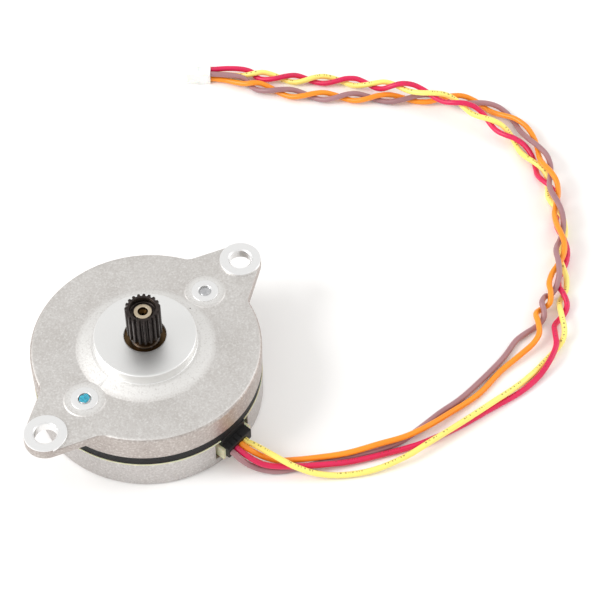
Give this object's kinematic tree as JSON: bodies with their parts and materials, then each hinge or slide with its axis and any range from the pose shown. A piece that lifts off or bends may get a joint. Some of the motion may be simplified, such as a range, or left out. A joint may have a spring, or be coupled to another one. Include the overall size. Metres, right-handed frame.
{
  "type": "stepper motor",
  "caption": "Flat round stepper motor with a stepped pilot boss, side mounting ears, a small spur pinion and a twisted flying lead with a small plug.",
  "frame": {"origin": "centre of the rear face, on the motor axis", "axes": "+Z along the shaft from the rear face towards the pinion; X through the centres of the ear holes; the lead leaves the body towards -Y and curls round to +X"},
  "size_m": [0.1101, 0.0888, 0.0216],
  "materials": {
    "cast_aluminium": "fine bead-blasted casting",
    "rear_aluminium": "fine bead-blasted casting",
    "stator_black": "black oxide laminations",
    "nylon_cream": "moulded nylon",
    "ground_steel": "ground",
    "rotor_steel": "stamped laminations",
    "magnet_nickel": "nickel plated",
    "spacer_steel": "turned",
    "brass_bushing": "turned",
    "pinion_dark_steel": "black oxide, oiled",
    "spring_steel": "polished strip",
    "screw_steel": "zinc plated",
    "threadlock_cyan": "set resin",
    "black_plastic": "moulded",
    "board_green": "solder mask",
    "pin_brass": "plated",
    "wire_brown": "extruded insulation",
    "wire_red": "extruded insulation",
    "wire_orange": "extruded insulation",
    "wire_yellow": "extruded insulation",
    "connector_white": "moulded nylon",
    "contact_brass": "tin plated",
    "coil_copper": "enamelled winding",
    "bearing_steel": "ground",
    "ball_chrome": "polished",
    "cage_brass": "stamped",
    "shield_steel": "stamped"
  },
  "bodies": {
    "housing": {"front_cover": "cast_aluminium", "rear_cover": "rear_aluminium", "stator_core": "stator_black", "front_insulator": "nylon_cream", "rear_insulator": "nylon_cream", "coil_1": "coil_copper", "coil_2": "coil_copper", "coil_3": "coil_copper", "coil_4": "coil_copper", "coil_5": "coil_copper", "coil_6": "coil_copper", "coil_7": "coil_copper", "coil_8": "coil_copper", "front_bearing_outer_ring": "bearing_steel", "front_bearing_shields": "shield_steel", "rear_bearing_outer_ring": "bearing_steel", "rear_bearing_shields": "shield_steel", "wave_washer": "spring_steel", "case_screws": "screw_steel", "threadlock_dab": "threadlock_cyan", "terminal_block": "black_plastic", "terminal_board": "board_green", "terminal_pins": "pin_brass", "wire_brown": "wire_brown", "wire_red": "wire_red", "wire_orange": "wire_orange", "wire_yellow": "wire_yellow", "connector_housing": "connector_white", "connector_contacts": "contact_brass"},
    "rotor": {"shaft": "ground_steel", "rotor_disc_front": "rotor_steel", "rotor_disc_rear": "rotor_steel", "rotor_magnet": "magnet_nickel", "rotor_spacer_front": "spacer_steel", "rotor_spacer_rear": "spacer_steel", "pinion_collar": "brass_bushing", "pinion": "pinion_dark_steel", "front_bearing_inner_ring": "bearing_steel", "rear_bearing_inner_ring": "bearing_steel"},
    "front_cage": {"front_bearing_balls": "ball_chrome", "front_bearing_cage": "cage_brass"},
    "rear_cage": {"rear_bearing_balls": "ball_chrome", "rear_bearing_cage": "cage_brass"}
  },
  "joints": [
    {"name": "rotor_spin", "type": "hinge", "parent": "housing", "child": "rotor", "pos_m": [0, 0, 0.0077], "axis": [0, 0, 1], "continuous": true},
    {"name": "front_cage_spin", "type": "hinge", "parent": "housing", "child": "front_cage", "pos_m": [0, 0, 0.0127], "axis": [0, 0, 1], "continuous": true},
    {"name": "rear_cage_spin", "type": "hinge", "parent": "housing", "child": "rear_cage", "pos_m": [0, 0, 0.00285], "axis": [0, 0, 1], "continuous": true}
  ],
  "couplings": [
    {"joint": "front_cage_spin", "follows": "rotor_spin", "ratio": 0.375},
    {"joint": "rear_cage_spin", "follows": "rotor_spin", "ratio": 0.375}
  ]
}
